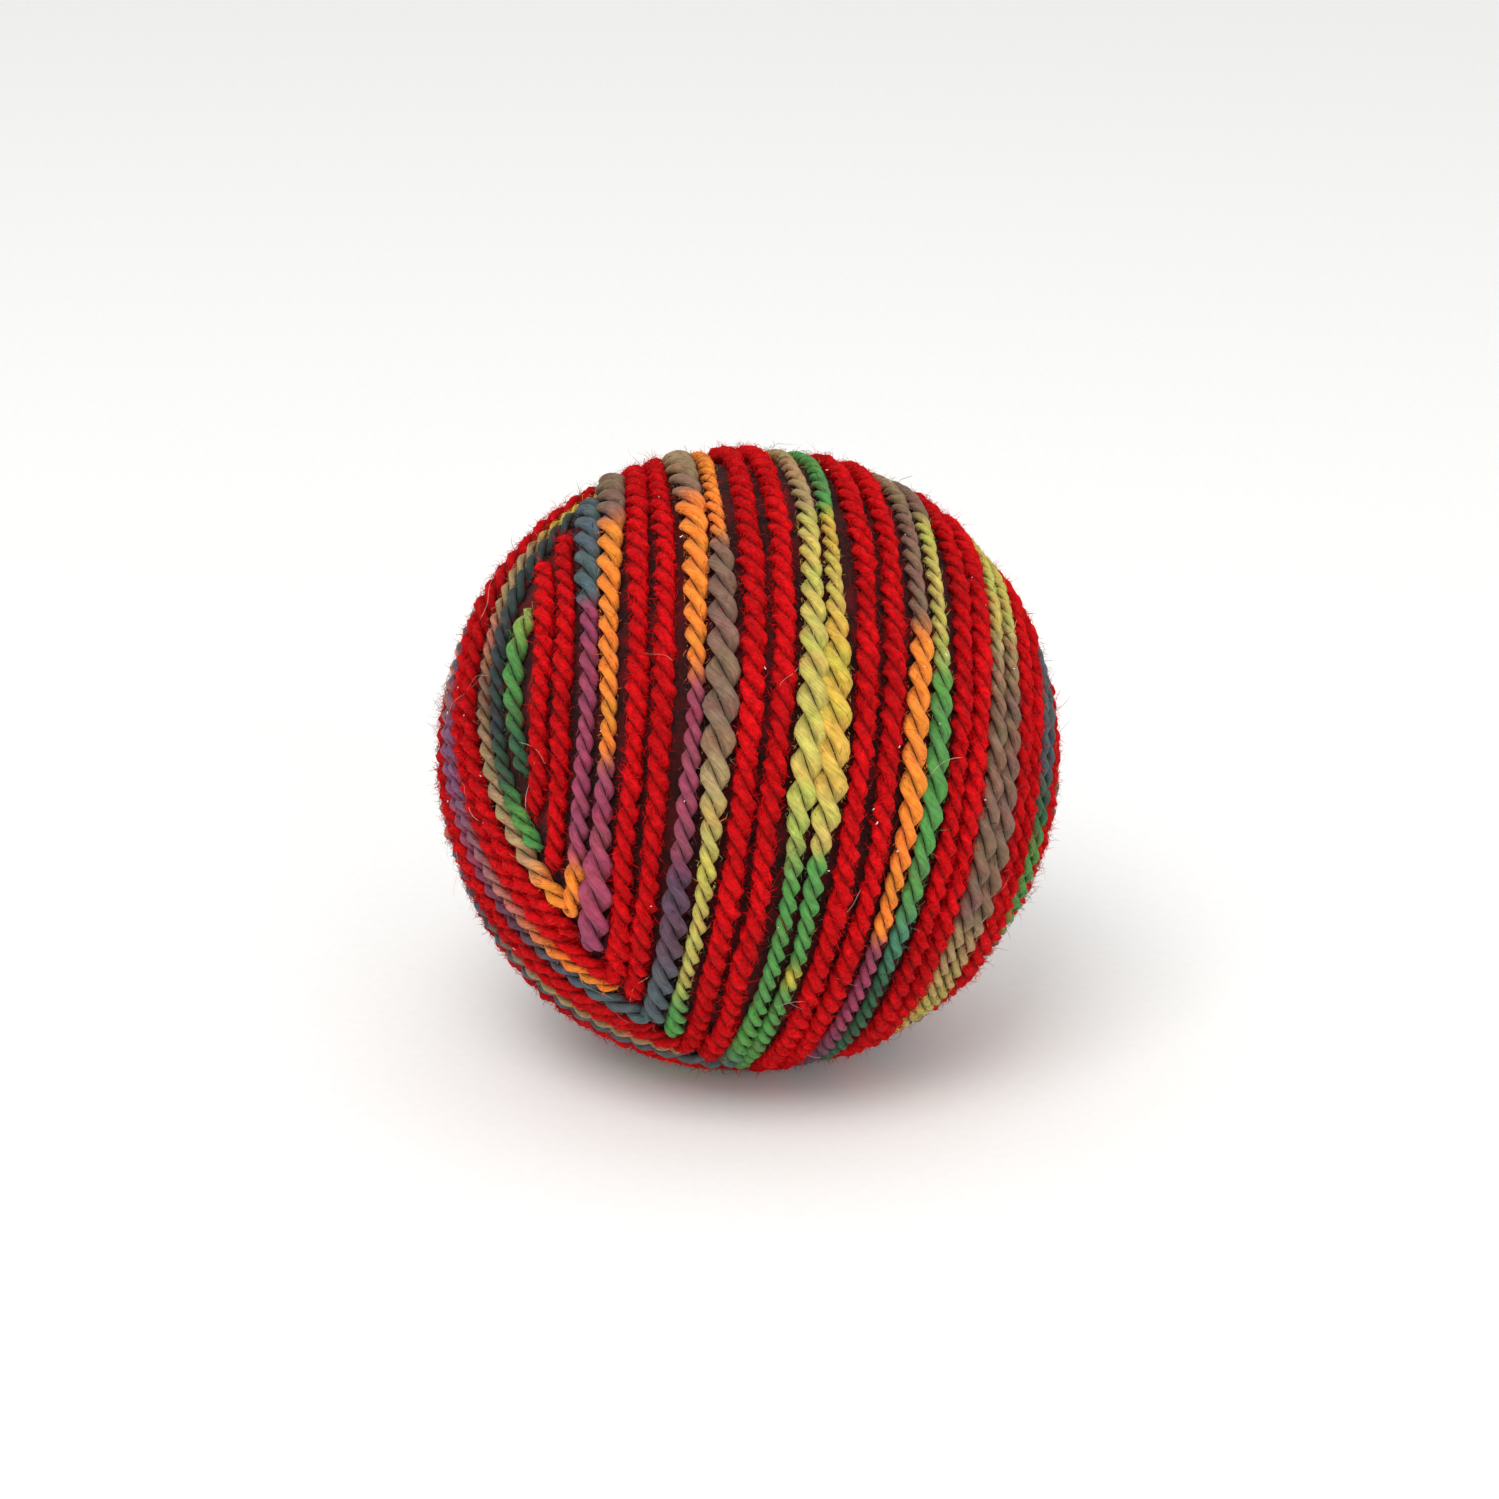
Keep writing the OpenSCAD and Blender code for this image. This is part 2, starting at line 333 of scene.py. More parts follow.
# Where each strand changes, from its top to its foot: latitude in degrees on the side
# that faces front, dye, and the yarn's width in millimetres there.
dyeRuns = {
    ("L", -0.5): [(38, "gold", 1.3), (31, "yellow", 1.5), (28, "lime", 2.0), (20, "green", 2.3),
                  (12, "green", 2.2), (3, "darkGreen", 1.9), (-16, "darkGreen", 1.5)],
    # the dark slate at this strand's top is slate darkened with painted shade, where the strand lies half
    # hidden
    ("L", 0.5): [(44, "smoke", 1.6), (25, "smoke", 1.8), (5, "smoke", 1.5), (-4, "darkGreen", 1.7),
                 (-10, "green", 1.9), (-19, "green", 1.6)],
    ("L", 1.5): [(48, "gold", 1.0), (42, "tan", 1.5), (30, "tan", 1.3), (22, "salmon", 1.3),
                 (12, "brown", 1.4), (-6, "tan", 2.1), (-18, "tan", 2.3), (-24, "orange", 2.2),
                 (-32, "orange", 1.7)],
    ("R", 2.5): [(70, "slate", 2.5), (34, "slate", 2.8), (30, "slate", 2.3), (27, "plum", 1.9),
                 (0, "plum", 1.6), (-17, "plum", 1.9), (-20, "orange", 2.2), (-36, "orange", 1.8)],
    ("R", 3.5): [(70, "brown", 2.9), (49, "brown", 2.9), (45, "orange", 2.7), (30, "orange", 2.1),
                 (2, "orange", 1.5), (-2, "plum", 1.7), (-14, "plum", 2.2), (-22, "plum", 3.2),
                 (-36, "plum", 3.0), (-41, "plum", 1.6)],
    ("L", 4.5): [(50, "slate", 1.7), (20, "slate", 1.7), (9, "mauve", 1.6), (-8, "mauve", 1.6),
                 (-28, "salmon", 1.6), (-38, "orange", 1.8), (-48, "orange", 1.5)],
    ("L", 5.5): [(45, "tan", 1.7), (14, "salmon", 1.6), (4, "mauve", 1.7), (-18, "plum", 1.7),
                 (-32, "dusk", 1.7), (-44, "slate", 1.9), (-60, "slate", 2.4)],
    ("R", 6.5): [(80, "tan", 2.6), (56, "brown", 2.8), (51, "orange", 2.8), (35, "orange", 2.4),
                 (18, "orange", 1.8), (12, "plum", 1.6), (-10, "plum", 1.9), (-22, "dusk", 2.4),
                 (-34, "dusk", 2.5), (-44, "slate", 2.4), (-60, "slate", 2.4)],
    ("R", 7.5): [(80, "orange", 1.5), (45, "orange", 1.5), (41, "brown", 2.2), (25, "brown", 3.0),
                 (6, "brown", 3.1), (-4, "tan", 2.5), (-16, "yellow", 1.8), (-40, "yellow", 1.5),
                 (-46, "lime", 1.5), (-50, "green", 1.8), (-62, "green", 1.9)],
    ("L", 8.5): [(40, "brown", 1.8), (0, "mauve", 1.7), (-30, "slate", 1.8), (-45, "tan", 1.7),
                 (-80, "tan", 1.7)],
    ("L", 9.5): [(40, "tan", 1.8), (0, "slate", 1.7), (-40, "slate", 1.9), (-80, "slate", 2.2)],
    ("R", 10.5): [(80, "tan", 1.5), (52, "tan", 1.7), (47, "yellow", 2.0), (28, "yellow", 2.3),
                  (14, "yellow", 3.0), (-3, "yellow", 3.0), (-12, "lime", 2.0), (-22, "green", 1.7),
                  (-50, "green", 1.7), (-66, "green", 2.0), (-74, "slate", 2.2)],
    ("R", 11.5): [(80, "green", 1.6), (52, "green", 1.6), (48, "gold", 1.5), (31, "yellow", 1.6),
                  (22, "gold", 2.6), (5, "gold", 3.2), (-10, "yellow", 2.9), (-15, "yellow", 2.0),
                  (-18, "green", 1.8), (-38, "green", 1.6), (-42, "gold", 1.6), (-46, "green", 1.6),
                  (-74, "green", 1.7)],
    ("R", 14.5): [(70, "tan", 1.7), (50, "brown", 1.7), (27, "brown", 1.8), (21, "orange", 2.4),
                  (-6, "orange", 2.6), (-20, "orange", 1.9), (-32, "orange", 1.7), (-35, "plum", 1.6),
                  (-54, "plum", 1.6), (-70, "dusk", 1.8)],
    ("R", 15.5): [(70, "brown", 2.2), (50, "brown", 2.0), (46, "yellow", 1.5), (22, "yellow", 1.5),
                  (18, "lime", 1.8), (14, "green", 2.2), (-2, "green", 2.6), (-24, "green", 2.3),
                  (-33, "teal", 1.8), (-44, "darkGreen", 1.5), (-65, "darkGreen", 1.5)],
    ("R", 18.5): [(60, "green", 1.8), (47, "green", 1.8), (44, "yellow", 1.5), (26, "yellow", 1.5),
                  (20, "tan", 1.6), (9, "brown", 2.2), (-14, "brown", 2.8), (-30, "brown", 2.4),
                  (-34, "tan", 1.7), (-60, "yellow", 1.6)],
    ("R", 19.5): [(60, "tan", 2.2), (34, "tan", 1.9), (24, "brown", 1.6), (-16, "brown", 1.7),
                  (-20, "yellow", 2.2), (-42, "yellow", 2.0), (-60, "gold", 1.6)],
    ("R", 22.5): [(60, "slate", 1.8), (0, "slate", 1.9), (-10, "darkGreen", 1.8), (-16, "green", 1.8),
                  (-32, "green", 1.7), (-36, "brown", 1.7)],
    ("R", 23.5): [(60, "teal", 1.7), (20, "slate", 1.8), (-10, "slate", 1.8), (-30, "brown", 1.7)],
}

redYarn = {
    "width": 2.15,              # millimetres
    "widthSwing": 0.16,         # share of the width that comes and goes
    "widthRun": 45,             # path points between thick and thin
    "toneSwing": 0.16,
    "toneRun": 60,
}
dyedYarn = {
    "fuller": 1.1,              # the wool swells past the widths given above
    "widthSwing": 0.1,
    "widthRun": 30,
    "together": 0.14 * mm,      # how far each strand of a pair leans to the other
    "togetherBlur": 25,
    "mottle": 0.13,             # unevenness of the dye
    "mottleRun": 14,
    "dyeBlur": 6,
    "reach": 200,               # degrees round the back that the dyes are carried
    "backWidths": (1.5, 2.9),   # millimetres
    "changeEvery": (16, 42),    # degrees of one dye, on the hidden side
    "changeOver": 4,            # degrees from one dye to the next
}
wander = {"reach": 0.3 * mm, "run": 90, "blur": 12}   # how far a yarn strays, over how many points


def smoothNoise(count, run, generator):
    # wandering values from -1 to 1, one for each point, that turn about once in run points
    knots = generator.uniform(-1, 1, max(4, int(count / run) + 4))
    return np.interp(np.linspace(0, len(knots) - 1, count), np.arange(len(knots)), knots)


def fullRun(side, s, generator):
    # carries a strand's dyes on round the back, in both directions
    front = dyeRuns.get((side, s)) or dyeRuns.get((side, s - 1)) or [(0, "brown", 1.8)]
    names = [n for n in dyes if n != "red"]
    knots = sorted((k[0], k[1], k[2]) for k in front)
    for way in (-1, 1):
        edge = knots[0] if way < 0 else knots[-1]
        angle, dye, width = edge
        while abs(angle) < dyedYarn["reach"]:
            hold = generator.uniform(*dyedYarn["changeEvery"])
            knots.append((angle + way * hold, dye, width))
            angle += way * (hold + dyedYarn["changeOver"])
            dye = names[generator.integers(len(names))]
            width = generator.uniform(*dyedYarn["backWidths"])
            knots.append((angle, dye, width))
    knots.sort(key=lambda k: k[0])
    return knots


def dyeAlong(side, s, directions, generator):
    # dye and width for each point of one strand
    knots = fullRun(side, s, generator)
    camUp = directions[:, 2]
    latitude = np.degrees(np.arcsin(np.clip(camUp, -1, 1)))
    behind = directions[:, 1] > 0
    around = np.where(behind, np.where(latitude > 0, 180 - latitude, -180 - latitude), latitude)
    angles = [k[0] for k in knots]
    rgb = np.array([hexColour(dyes[k[1]])[:3] for k in knots])
    colour = np.stack([np.interp(around, angles, rgb[:, i]) for i in range(3)], axis=1)
    return colour, np.interp(around, angles, [k[2] for k in knots])


def blurAlong(values, reach):
    # running mean, with the ends held
    window = 2 * reach + 1
    padded = np.concatenate([np.repeat(values[:1], reach, 0), values, np.repeat(values[-1:], reach, 0)])
    total = np.cumsum(np.concatenate([np.zeros_like(padded[:1]), padded]), axis=0)
    return (total[window:] - total[:-window]) / window


def roundCorners(parts):
    # joins a yarn's arcs into one line of directions and bends it where they meet
    line = parts[0]
    reach = int(course["cornerRun"] / pathStep)
    for part in parts[1:]:
        a, corner, b = line[-reach], line[-1], part[reach]
        t = np.linspace(0, 1, 2 * reach)[:, None]
        bend = unit((1 - t) ** 2 * a + 2 * t * (1 - t) * corner + t ** 2 * b)
        line = np.concatenate([line[:-reach], bend, part[reach + 1:]])
    return line


def yarnLine(name, run, generator):
    # even points along a yarn, with its dye and width at each
    isRed = "red" in name or "start" in name
    parts = [unit(p) for _, _, p in run]
    line = roundCorners(parts)
    if isRed:
        count = len(line)
        tone = 1 + redYarn["toneSwing"] * smoothNoise(count, redYarn["toneRun"], generator)
        colour = np.array(hexColour(dyes["red"])[:3])[None, :] * tone[:, None]
        swing = redYarn["widthSwing"] * smoothNoise(count, redYarn["widthRun"], generator)
        width = redYarn["width"] * (1 + swing)
    else:
        pieces = [dyeAlong(side, s, p, generator) for side, s, p in run]
        colour = np.concatenate([c for c, _ in pieces])
        width = np.concatenate([w for _, w in pieces])
        share = np.linspace(0, len(colour) - 1, len(line))
        colour = np.stack([np.interp(share, np.arange(len(colour)), colour[:, i]) for i in range(3)], 1)
        width = np.interp(share, np.arange(len(width)), width)
        swing = dyedYarn["widthSwing"] * smoothNoise(len(line), dyedYarn["widthRun"], generator)
        width = width * dyedYarn["fuller"] * (1 + swing)
        mottle = [smoothNoise(len(line), dyedYarn["mottleRun"], generator) for _ in range(3)]
        mottle = 1 + dyedYarn["mottle"] * np.stack(mottle, axis=1)
        colour = blurAlong(colour, dyedYarn["dyeBlur"]) * mottle
    pull = np.concatenate([np.full(len(p), 1 if s % 2 > 1 else -1) for (_, s, p) in run])
    pull = np.interp(np.linspace(0, len(pull) - 1, len(line)), np.arange(len(pull)), pull)
    pull = blurAlong(pull, dyedYarn["togetherBlur"]) * (0 if isRed else dyedYarn["together"])
    return line, blurAlong(colour, 2), blurAlong(width, 8) * mm, pull


# the yarn itself

twist = {
    "sides": 16,
    "ringStep": 0.25 * mm,
    "redPly": (0.31, 0.19),         # a ply's radius and its place off the middle, in yarn widths
    "dyedPly": (0.27, 0.23),
    "redLumps": 0.15,               # unevenness of the spinning
    "dyedLumps": 0.035,
    "redPitch": (1.6 * mm, 1.3),    # one full turn: a length, and a share of the yarn's width
    "dyedPitch": (1.2 * mm, 1.6),
    "restHeight": 1.62 * mm,        # how high a yarn of ordinary width stands on the felt
    "slubRise": 0.36,               # how much of a slub's extra width goes into height
    "endTaper": 1.6 * mm,
    "endWidth": 0.35,               # share of the width that is left at a yarn's very end
    "tuftsAround": 5,               # repeats of the fibre pattern round a yarn
}
ballShape = {"lump": 0.28 * mm, "settle": 0.25 * mm}   # slow bumps, and how thin the wool presses


def plyProfile(sides, ply):
    # outline of two plies side by side, as a radius for each angle, for a yarn one wide
    a = np.linspace(0, 2 * math.pi, sides, endpoint=False)
    radius, offset = ply
    return a, offset * np.abs(np.cos(a)) + np.sqrt(radius ** 2 - (offset * np.sin(a)) ** 2)


def ballLumps(directions):
    # the soft ball's own slow bumps, the same for all that lies on it
    x, y, z = directions.T
    wave = np.sin(3.1 * x + 1.3) * np.cos(2.7 * z - 0.4) + 0.7 * np.sin(4.3 * y + 2.2 * z)
    return ballShape["lump"] * wave


def leaned(directions):
    # turns the pattern's own directions into the ball's
    a = math.radians(-course["lean"])
    c, s = math.cos(a), math.sin(a)
    return directions @ np.array([[1, 0, 0], [0, c, -s], [0, s, c]]).T


def strayed(directions, pull, generator):
    # hand-laid yarn doesn't keep exactly to its line, and a dyed pair lies close together
    tangent = unit(np.gradient(directions, axis=0))
    across = unit(np.cross(tangent, directions))
    noise = smoothNoise(len(directions), wander["run"], generator)
    shift = blurAlong(noise, wander["blur"]) * wander["reach"] + pull
    return unit(directions + across * (shift / layRadius)[:, None])


def yarnFrames(line, colour, width, pull, isRed, generator):
    # resamples a yarn's line and gives its middle, its across and up directions, and the rest
    directions = leaned(line)
    directions = strayed(directions, pull, generator)
    gaps = np.linalg.norm(np.diff(directions, axis=0), axis=1) * layRadius
    along = np.concatenate([[0], np.cumsum(gaps)])
    count = max(12, int(along[-1] / twist["ringStep"]))
    s = np.linspace(0, along[-1], count)
    directions = unit(np.stack([np.interp(s, along, v) for v in directions.T], axis=1))
    colour = np.stack([np.interp(s, along, v) for v in colour.T], axis=1)
    width = np.interp(s, along, width)
    ends = np.minimum(s, along[-1] - s) / twist["endTaper"]
    taper = np.sqrt(np.clip(ends, 0.02, 1))
    width = width * (twist["endWidth"] + (1 - twist["endWidth"]) * taper)
    height = twist["restHeight"] + twist["slubRise"] * (width - course["yarn"])
    height = np.minimum(height, width)
    tangent = unit(np.gradient(directions, axis=0))
    across = unit(np.cross(tangent, directions))
    middle = directions * (course["feltRadius"] + height / 2 + ballLumps(directions))[:, None]
    base, share = twist["redPitch"] if isRed else twist["dyedPitch"]
    pitch = base + share * width
    turn = np.concatenate([[0], np.cumsum(2 * math.pi / pitch[1:] * np.diff(s))])
    return {"s": s, "directions": directions, "colour": colour, "width": width, "height": height,
            "across": across, "middle": middle, "turn": turn}


def restOnTable(points):
    # a soft yarn flattens against the table
    z = points[:, 2] + ballMiddle[2]
    low = ballShape["settle"]
    z = np.where(z < low, low * np.exp(np.clip((z - low) / (3 * low), -6, 0)), z)
    points[:, 2] = z
    points[:, 0] += ballMiddle[0]
    points[:, 1] += ballMiddle[1]
    return points


def tubeFaces(rings, sides):
    i = np.arange(rings - 1)[:, None] * sides
    j = np.arange(sides)[None, :]
    k = (j + 1) % sides
    return np.stack([i + j, i + k, i + sides + k, i + sides + j], axis=2).reshape(-1, 4)


def yarnSurface(f, ply, lumps, generator):
    # the two plies' outline, turned along the yarn, uneven, and pressed a little flat
    a, radius = plyProfile(twist["sides"], ply)
    rings = len(f["s"])
    angle = a[None, :] + f["turn"][:, None]
    uneven = generator.normal(size=(rings, len(a)))
    uneven = blurAlong(uneven + np.roll(uneven, 1, axis=1), 1)
    grown = radius[None, :] * (1 + lumps * uneven)
    x = np.cos(angle) * grown * f["width"][:, None]
    y = np.sin(angle) * grown * f["height"][:, None]
    points = f["middle"][:, None, :] + x[:, :, None] * f["across"][:, None, :] \
        + y[:, :, None] * f["directions"][:, None, :]
    return points.reshape(-1, 3), tubeFaces(rings, twist["sides"]), a, radius


def addEndCaps(points, faces, rings, sides):
    # closes both ends with four-sided faces round a point in the middle
    first = points[:sides].mean(axis=0)
    last = points[-sides:].mean(axis=0)
    points = np.concatenate([points, [first, last]])
    j = np.arange(0, sides, 2)
    k1, k2 = (j + 1) % sides, (j + 2) % sides
    start = rings * sides
    base = (rings - 1) * sides
    headCap = np.stack([np.full(len(j), start), k2, k1, j], axis=1)
    footCap = np.stack([np.full(len(j), start + 1), base + j, base + k1, base + k2], axis=1)
    return points, np.concatenate([faces, headCap, footCap])


def buildYarn(name, yarn, isRed, generator):
    f = yarnFrames(*yarn, isRed, generator)
    sides, rings = twist["sides"], len(f["s"])
    ply = twist["redPly"] if isRed else twist["dyedPly"]
    lumps = twist["redLumps"] if isRed else twist["dyedLumps"]
    material = redWool if isRed else dyedWool
    points, faces, a, radius = yarnSurface(f, ply, lumps, generator)
    points, faces = addEndCaps(points, faces, rings, sides)
    faces = faces[:, ::-1]      # faces outward
    points = restOnTable(points)
    piece = meshObject(name, points, faces, material)
    dye = np.repeat(f["colour"], sides, axis=0)
    # from each groove (0) to each crest (1); the wool material uses it to paint shade into the grooves
    grooveShadeMask = np.tile((radius - radius.min()) / (radius.max() - radius.min()), rings)
    paintPoints(piece, "dye", np.concatenate([dye, f["colour"][:1], f["colour"][-1:]]))
    paintPoints(piece, "grooveShadeMask", np.concatenate([grooveShadeMask, [0.5, 0.5]]))
    around = np.tile(a / (2 * math.pi), rings)
    along = np.repeat(f["s"], sides)
    tufts = twist["tuftsAround"]
    u = np.concatenate([around, [0, 0]]) * tufts
    v = np.concatenate([along, along[:1], along[-1:]]) / mm
    loopUv = np.stack([u, v], axis=1)[faces.ravel()].reshape(-1, 4, 2)
    crosses = loopUv[:, :, 0].max(1) - loopUv[:, :, 0].min(1) > tufts / 2
    wrapped = crosses[:, None] & (loopUv[:, :, 0] < tufts / 2)
    loopUv[:, :, 0] += np.where(wrapped, tufts, 0)
    layer = piece.data.uv_layers.new(name="yarnUv")
    layer.data.foreach_set("uv", loopUv.astype(np.float32).ravel())
    return piece, f


# the lifts are shares of the way from a yarn's middle to the bottom of its groove
binderThread = {"radius": 0.07 * mm, "redLift": 0.72, "dyedLift": 1.08, "sides": 4}


def buildBinder(name, f, isRed, material):
    # two fine dark threads, one in each groove between the plies
    sides, thread = binderThread["sides"], binderThread["radius"]
    lift = binderThread["redLift"] if isRed else binderThread["dyedLift"]
    keep = slice(0, None, 2)
    allPoints, allFaces = [], []
    for groove in (math.pi / 2, 3 * math.pi / 2):
        angle = groove + f["turn"][keep]
        reach = plyProfile(4, twist["redPly"] if isRed else twist["dyedPly"])[1].min() * lift
        x = (np.cos(angle) * reach * f["width"][keep])[:, None] * f["across"][keep]
        y = (np.sin(angle) * reach * f["height"][keep])[:, None] * f["directions"][keep]
        centre = f["middle"][keep] + x + y
        tangent = unit(np.gradient(centre, axis=0))
        outward = unit(x + y)
        sideways = unit(np.cross(tangent, outward))
        turns = np.arange(sides) * 2 * math.pi / sides
        ring = [outward * math.cos(q) + sideways * math.sin(q) for q in turns]
        points = (centre[:, None, :] + thread * np.stack(ring, axis=1)).reshape(-1, 3)
        faces = tubeFaces(len(centre), sides)
        around = np.arange(sides)
        caps = np.array([around[::-1], around + (len(centre) - 1) * sides])
        allFaces.append(np.concatenate([faces, caps]) + sum(len(p) for p in allPoints))
        allPoints.append(points)
    points = restOnTable(np.concatenate(allPoints))
    return meshObject(name, points, np.concatenate(allFaces), material)


# how many fibres stand out from a millimetre of yarn, how thick and how long they are
fuzz = {
    "redPerMm": 26.0,
    "dyedPerMm": 9.0,
    "radius": 0.036 * mm,
    "redLength": (0.45 * mm, 1.35 * mm),
    "dyedLength": (0.3 * mm, 1.0 * mm),
    "rootAcross": 0.42,         # where a fibre starts, in the yarn's widths and heights
    "rootUp": 0.40,
    "under": 0.15,              # how far past the sides fibres start, in half turns
    "tones": (0.3, 1.5),        # against the dye of the yarn
    "thinning": 0.6,
    "curl": 0.9,
}


def hairFaces(rings):
    # one fibre's faces: a point, its three-sided rings, and a point
    faces = []
    tip = rings * 3 + 1
    for j in range(3):
        k = (j + 1) % 3
        faces.append((0, 1 + j, 1 + k))
        for low in range(1, tip - 3, 3):
            faces.append((low + j, low + 3 + j, low + 3 + k))
            faces.append((low + j, low + 3 + k, low + k))
        faces.append((tip, tip - 3 + k, tip - 3 + j))
    return np.array(faces)


def hairMesh(name, roots, outward, lean, lengths, colours, radii, generator, curl=fuzz["curl"], rings=2):
    # fine fibres: each starts on a root, leans along the surface, curls and ends in a point
    count = len(roots)
    share = np.linspace(0, 1, rings + 2)[None, :, None]
    bend = unit(generator.normal(size=(count, 3)))
    waver = unit(generator.normal(size=(count, 3)))
    reach = lengths[:, None, None]
    phase = generator.uniform(0, 2 * math.pi, count)[:, None, None]
    rise = generator.uniform(0.05, 0.6, count)[:, None, None]
    centre = roots[:, None, :] + reach * (
        lean[:, None, :] * share + outward[:, None, :] * rise * share * (1 - 0.55 * share)
        + curl * bend[:, None, :] * share ** 2 * np.sin(phase + 3 * share)
        + 0.3 * curl * waver[:, None, :] * np.sin(5 * share + phase) * share)
    tangent = unit(np.gradient(centre, axis=1))
    side = unit(np.cross(tangent, outward[:, None, :] + 0.01))
    up = np.cross(side, tangent)
    thin = (radii[:, None, None] * (1 - fuzz["thinning"] * share))[:, 1:-1, None, :]
    turns = np.arange(3) * 2 * math.pi / 3
    ring = np.stack([side * math.cos(q) + up * math.sin(q) for q in turns], axis=2)
    body = (centre[:, 1:-1, None, :] + thin * ring[:, 1:-1]).reshape(count, rings * 3, 3)
    points = np.concatenate([centre[:, :1], body, centre[:, -1:]], axis=1)
    each = points.shape[1]
    faces = (hairFaces(rings)[None] + (np.arange(count) * each)[:, None, None]).reshape(-1, 3)
    piece = meshObject(name, restOnTable(points.reshape(-1, 3)), faces, fibreMaterial)
    paintPoints(piece, "dye", np.repeat(colours, each, axis=0))
    return piece


def yarnFuzz(name, f, isRed, generator):
    count = int(f["s"][-1] / mm * (fuzz["redPerMm"] if isRed else fuzz["dyedPerMm"]))
    pick = generator.integers(0, len(f["s"]), count)
    angle = generator.uniform(-fuzz["under"] * math.pi, (1 + fuzz["under"]) * math.pi, count)
    x = (np.cos(angle) * fuzz["rootAcross"] * f["width"][pick])[:, None] * f["across"][pick]
    y = (np.sin(angle) * fuzz["rootUp"] * f["height"][pick])[:, None] * f["directions"][pick]
    roots = f["middle"][pick] + x + y
    outward = unit(x + y + 0.25 * f["directions"][pick] * mm)
    along = np.cross(f["directions"][pick], f["across"][pick])
    ways = generator.choice([-1, 1], count)[:, None]
    lean = unit(along * ways + 0.8 * generator.normal(size=(count, 3)))
    lean = unit(lean - 0.8 * outward * (lean * outward).sum(1, keepdims=True))
    low, high = fuzz["redLength"] if isRed else fuzz["dyedLength"]
    lengths = low + (high - low) * generator.random(count) ** 2
    tone = generator.uniform(*fuzz["tones"], (count, 1))
    radii = fuzz["radius"] * generator.uniform(0.7, 1.15, count)
    return hairMesh(name, roots, outward, lean, lengths, f["colour"][pick] * tone, radii, generator)


# materials

woolScale = {"tuft": 0.16, "clump": 0.9 * mm}   # the first in mm, as the yarn's own map is


# Spun wool's two finishes: how dark the painted shade in its grooves is, how dark the gaps between its
# tufts are, how long a tuft is in mm, how high it stands, and the soft shine of its fibres.
looseSpun = {"groove": 0.34, "darkest": 0.45, "run": 0.42, "relief": 0.3 * mm,
             "sheen": 0.1, "sheenTint": "#ff3020"}
tightSpun = {"groove": 0.36, "darkest": 0.66, "run": 1.3, "relief": 0.16 * mm,
             "sheen": 0.06, "sheenTint": "#ffffff"}


def woolYarn(name, finish):
    # soft spun wool: matt, with tufts of fibres along each ply and shade painted darker into the grooves
    # between;
    # a single fibre is too fine to show, so tufts of 0.16 mm are drawn
    material, tree, output = newMaterial(name)
    dye = addNode(tree, "Attribute", {"attribute_name": "dye"})
    grooveShadeMask = addNode(tree, "Attribute", {"attribute_name": "grooveShadeMask"})
    uv = addNode(tree, "UVMap", {"uv_map": "yarnUv"})
    stretch = addNode(tree, "Mapping", {}, {
        "Vector": uv.outputs["UV"], "Scale": (1 / woolScale["tuft"], 1 / finish["run"], 1)})
    fibres = addNode(tree, "TexNoise", {}, {
        "Vector": stretch.outputs["Vector"], "Scale": 1.0, "Detail": 3.0, "Roughness": 0.62})
    place = addNode(tree, "TexCoord")
    clumps = addNode(tree, "TexNoise", {}, {
        "Vector": place.outputs["Object"], "Scale": 1 / woolScale["clump"], "Detail": 2.0})
    tone = addNode(tree, "MapRange", {}, {
        "Value": fibres.outputs["Fac"], "From Min": 0.3, "From Max": 0.7,
        "To Min": finish["darkest"], "To Max": 1.28})
    patch = addNode(tree, "MapRange", {}, {
        "Value": clumps.outputs["Fac"], "From Min": 0.3, "From Max": 0.7,
        "To Min": (1 + finish["darkest"]) / 2, "To Max": 1.14})
    # painted shade: the colour darkens towards the bottom of each groove between the plies
    groove = addNode(tree, "MapRange", {}, {
        "Value": grooveShadeMask.outputs["Fac"], "From Min": 0.0, "From Max": 0.55,
        "To Min": finish["groove"], "To Max": 1.0})
    both = addNode(tree, "Math", {"operation": "MULTIPLY"}, {
        0: tone.outputs["Result"], 1: patch.outputs["Result"]})
    shade = addNode(tree, "Math", {"operation": "MULTIPLY"}, {
        0: both.outputs["Value"], 1: groove.outputs["Result"]})
    colour = addNode(tree, "VectorMath", {"operation": "SCALE"}, {
        0: dye.outputs["Color"], "Scale": shade.outputs["Value"]})
    bump = addNode(tree, "Bump", {}, {
        "Height": fibres.outputs["Fac"], "Strength": 1.0, "Distance": finish["relief"]})
    surface = addNode(tree, "BsdfPrincipled", {}, {
        "Base Color": colour.outputs["Vector"], "Normal": bump.outputs["Normal"], "Roughness": 0.88,
        "Sheen Weight": finish["sheen"], "Sheen Roughness": 0.45,
        "Sheen Tint": hexColour(finish["sheenTint"]),
        "Specular IOR Level": 0.12})
    tree.links.new(surface.outputs["BSDF"], output.inputs["Surface"])
    return material


def looseFibre(name):
    # single wool fibres: matt, in the dye of the yarn that they stand out from
    material, tree, output = newMaterial(name)
    dye = addNode(tree, "Attribute", {"attribute_name": "dye"})
    surface = addNode(tree, "BsdfPrincipled", {}, {
        "Base Color": dye.outputs["Color"], "Roughness": 0.95, "Specular IOR Level": 0.05})
    tree.links.new(surface.outputs["BSDF"], output.inputs["Surface"])
    return material


